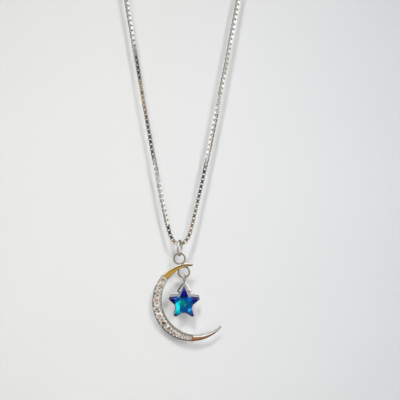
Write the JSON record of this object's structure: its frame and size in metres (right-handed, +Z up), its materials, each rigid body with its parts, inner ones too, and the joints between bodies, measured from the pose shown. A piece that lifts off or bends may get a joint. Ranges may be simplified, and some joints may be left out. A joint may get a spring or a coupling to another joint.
{
  "type": "moon and star necklace",
  "caption": "Necklace of fine box chain with a crescent moon set with a row of clear stones and a blue crystal star hanging inside the crescent",
  "frame": {"origin": "underside of the clasp at the top of the loop, where the necklace hangs", "axes": "+Z up, +X to the right seen from the front, -Y the front that shows"},
  "size_m": [0.0644, 0.0046, 0.2288],
  "materials": {
    "silver": "polished silver",
    "clear_stone": "clear cut stone",
    "blue_crystal": "cut crystal with an iridescent blue coat"
  },
  "bodies": {
    "chain": {"chain": "silver", "clasp": "silver"},
    "bail_ring": {"bail_ring": "silver"},
    "moon": {"moon": "silver", "stone_01": "clear_stone", "stone_02": "clear_stone", "stone_03": "clear_stone", "stone_04": "clear_stone", "stone_05": "clear_stone", "stone_06": "clear_stone", "stone_07": "clear_stone", "stone_08": "clear_stone", "stone_09": "clear_stone", "stone_10": "clear_stone", "stone_11": "clear_stone", "stone_12": "clear_stone"},
    "star_bail": {"star_bail": "silver"},
    "star": {"star": "blue_crystal"}
  },
  "joints": [
    {"name": "ring_swing", "type": "hinge", "parent": "chain", "child": "bail_ring", "pos_m": [0, 0, -0.1986], "axis": [1, 0, 0], "range_deg": [-75, 75]},
    {"name": "moon_sway", "type": "hinge", "parent": "bail_ring", "child": "moon", "pos_m": [0, 0, -0.20185], "axis": [0, 1, 0], "range_deg": [-60, 60]},
    {"name": "bail_swing", "type": "hinge", "parent": "moon", "child": "star_bail", "pos_m": [0.00146, 0, -0.20802], "axis": [1, 0, 0], "range_deg": [-70, 70]},
    {"name": "star_tilt", "type": "hinge", "parent": "star_bail", "child": "star", "pos_m": [0.00146, 0, -0.21207], "axis": [1, 0, 0], "range_deg": [-20, 20]}
  ]
}
